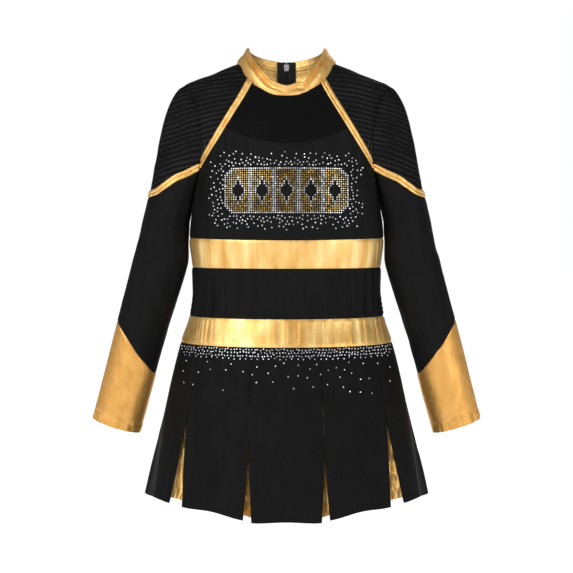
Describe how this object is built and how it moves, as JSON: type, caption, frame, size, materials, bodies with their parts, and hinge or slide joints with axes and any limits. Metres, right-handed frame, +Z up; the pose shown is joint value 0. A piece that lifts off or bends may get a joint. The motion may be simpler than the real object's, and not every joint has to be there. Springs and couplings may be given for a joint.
{
  "type": "cheer uniform",
  "caption": "Long-sleeved cheer dress with a stand collar, sheer yoke, metallic bands and cuffs, a box-pleated skirt with contrast inserts, and a back zip.",
  "frame": {"origin": "middle of the neck opening, level with the neck ends of the shoulders", "axes": "+Z up along the worn dress, +X towards the wearer's left, front faces -Y"},
  "size_m": [0.5504, 0.254, 0.6125],
  "materials": {
    "gold_foil": "gold foil print on stretch knit, soft metallic sheen",
    "black_mesh": "sheer power mesh, black",
    "black_stretch": "matte black stretch knit",
    "zip_tape": "woven tape",
    "zip_teeth": "moulded coil",
    "zip_metal": "nickel plated",
    "gold_stones": "faceted, foil backed",
    "crystal": "faceted, foil backed"
  },
  "bodies": {
    "dress": {"collar": "gold_foil", "upper_band_front": "gold_foil", "lower_band_front": "gold_foil", "pleat_inserts": "gold_foil", "upper_band_back_left": "gold_foil", "upper_band_back_right": "gold_foil", "lower_band_back_left": "gold_foil", "lower_band_back_right": "gold_foil", "raglan_trim_front_left": "gold_foil", "raglan_trim_front_right": "gold_foil", "raglan_trim_back_left": "gold_foil", "raglan_trim_back_right": "gold_foil", "front_yoke_mesh": "black_mesh", "back_yoke_mesh_left": "black_mesh", "back_yoke_mesh_right": "black_mesh", "shoulder_mesh_left": "black_mesh", "shoulder_mesh_right": "black_mesh", "front_bodice": "black_stretch", "back_bodice_left": "black_stretch", "back_bodice_right": "black_stretch", "waist_panel_front": "black_stretch", "waist_panel_back_left": "black_stretch", "waist_panel_back_right": "black_stretch", "skirt_panel_front": "black_stretch", "skirt_panel_back": "black_stretch", "skirt_panel_front_left": "black_stretch", "skirt_panel_front_right": "black_stretch", "skirt_panel_side_front_left": "black_stretch", "skirt_panel_side_front_right": "black_stretch", "skirt_panel_side_back_left": "black_stretch", "skirt_panel_side_back_right": "black_stretch", "skirt_panel_back_left": "black_stretch", "skirt_panel_back_right": "black_stretch", "zip_tape_left": "zip_tape", "zip_tape_right": "zip_tape", "zip_teeth_left": "zip_teeth", "zip_teeth_right": "zip_teeth", "zip_top_stop_left": "zip_metal", "zip_top_stop_right": "zip_metal", "zip_bottom_stop": "zip_metal", "chest_motif": "gold_stones", "chest_crystals": "crystal", "skirt_crystals": "crystal"},
    "left_sleeve": {"sleeve_cap_mesh_left": "black_mesh", "sleeve_trim_left": "gold_foil", "sleeve_left": "black_stretch", "cuff_left": "gold_foil"},
    "right_sleeve": {"sleeve_cap_mesh_right": "black_mesh", "sleeve_trim_right": "gold_foil", "sleeve_right": "black_stretch", "cuff_right": "gold_foil"},
    "zip_slider": {"zip_slider": "zip_metal"},
    "zip_pull": {"zip_pull": "zip_metal"}
  },
  "joints": [
    {"name": "left_sleeve_lift", "type": "hinge", "parent": "dress", "child": "left_sleeve", "pos_m": [0.1512, -0.004, -0.0212], "axis": [0, -1, 0], "range_deg": [0, 60]},
    {"name": "right_sleeve_lift", "type": "hinge", "parent": "dress", "child": "right_sleeve", "pos_m": [-0.1512, -0.004, -0.0212], "axis": [0, 1, 0], "range_deg": [0, 60]},
    {"name": "zip_slide", "type": "slide", "parent": "dress", "child": "zip_slider", "axis": [0, 0.0499, -0.9988], "range_m": [0, 0.371]},
    {"name": "zip_pull_swing", "type": "hinge", "parent": "zip_slider", "child": "zip_pull", "pos_m": [0, 0.0508, 0.01611], "axis": [1, 0, 0], "range_deg": [0, 160]}
  ]
}
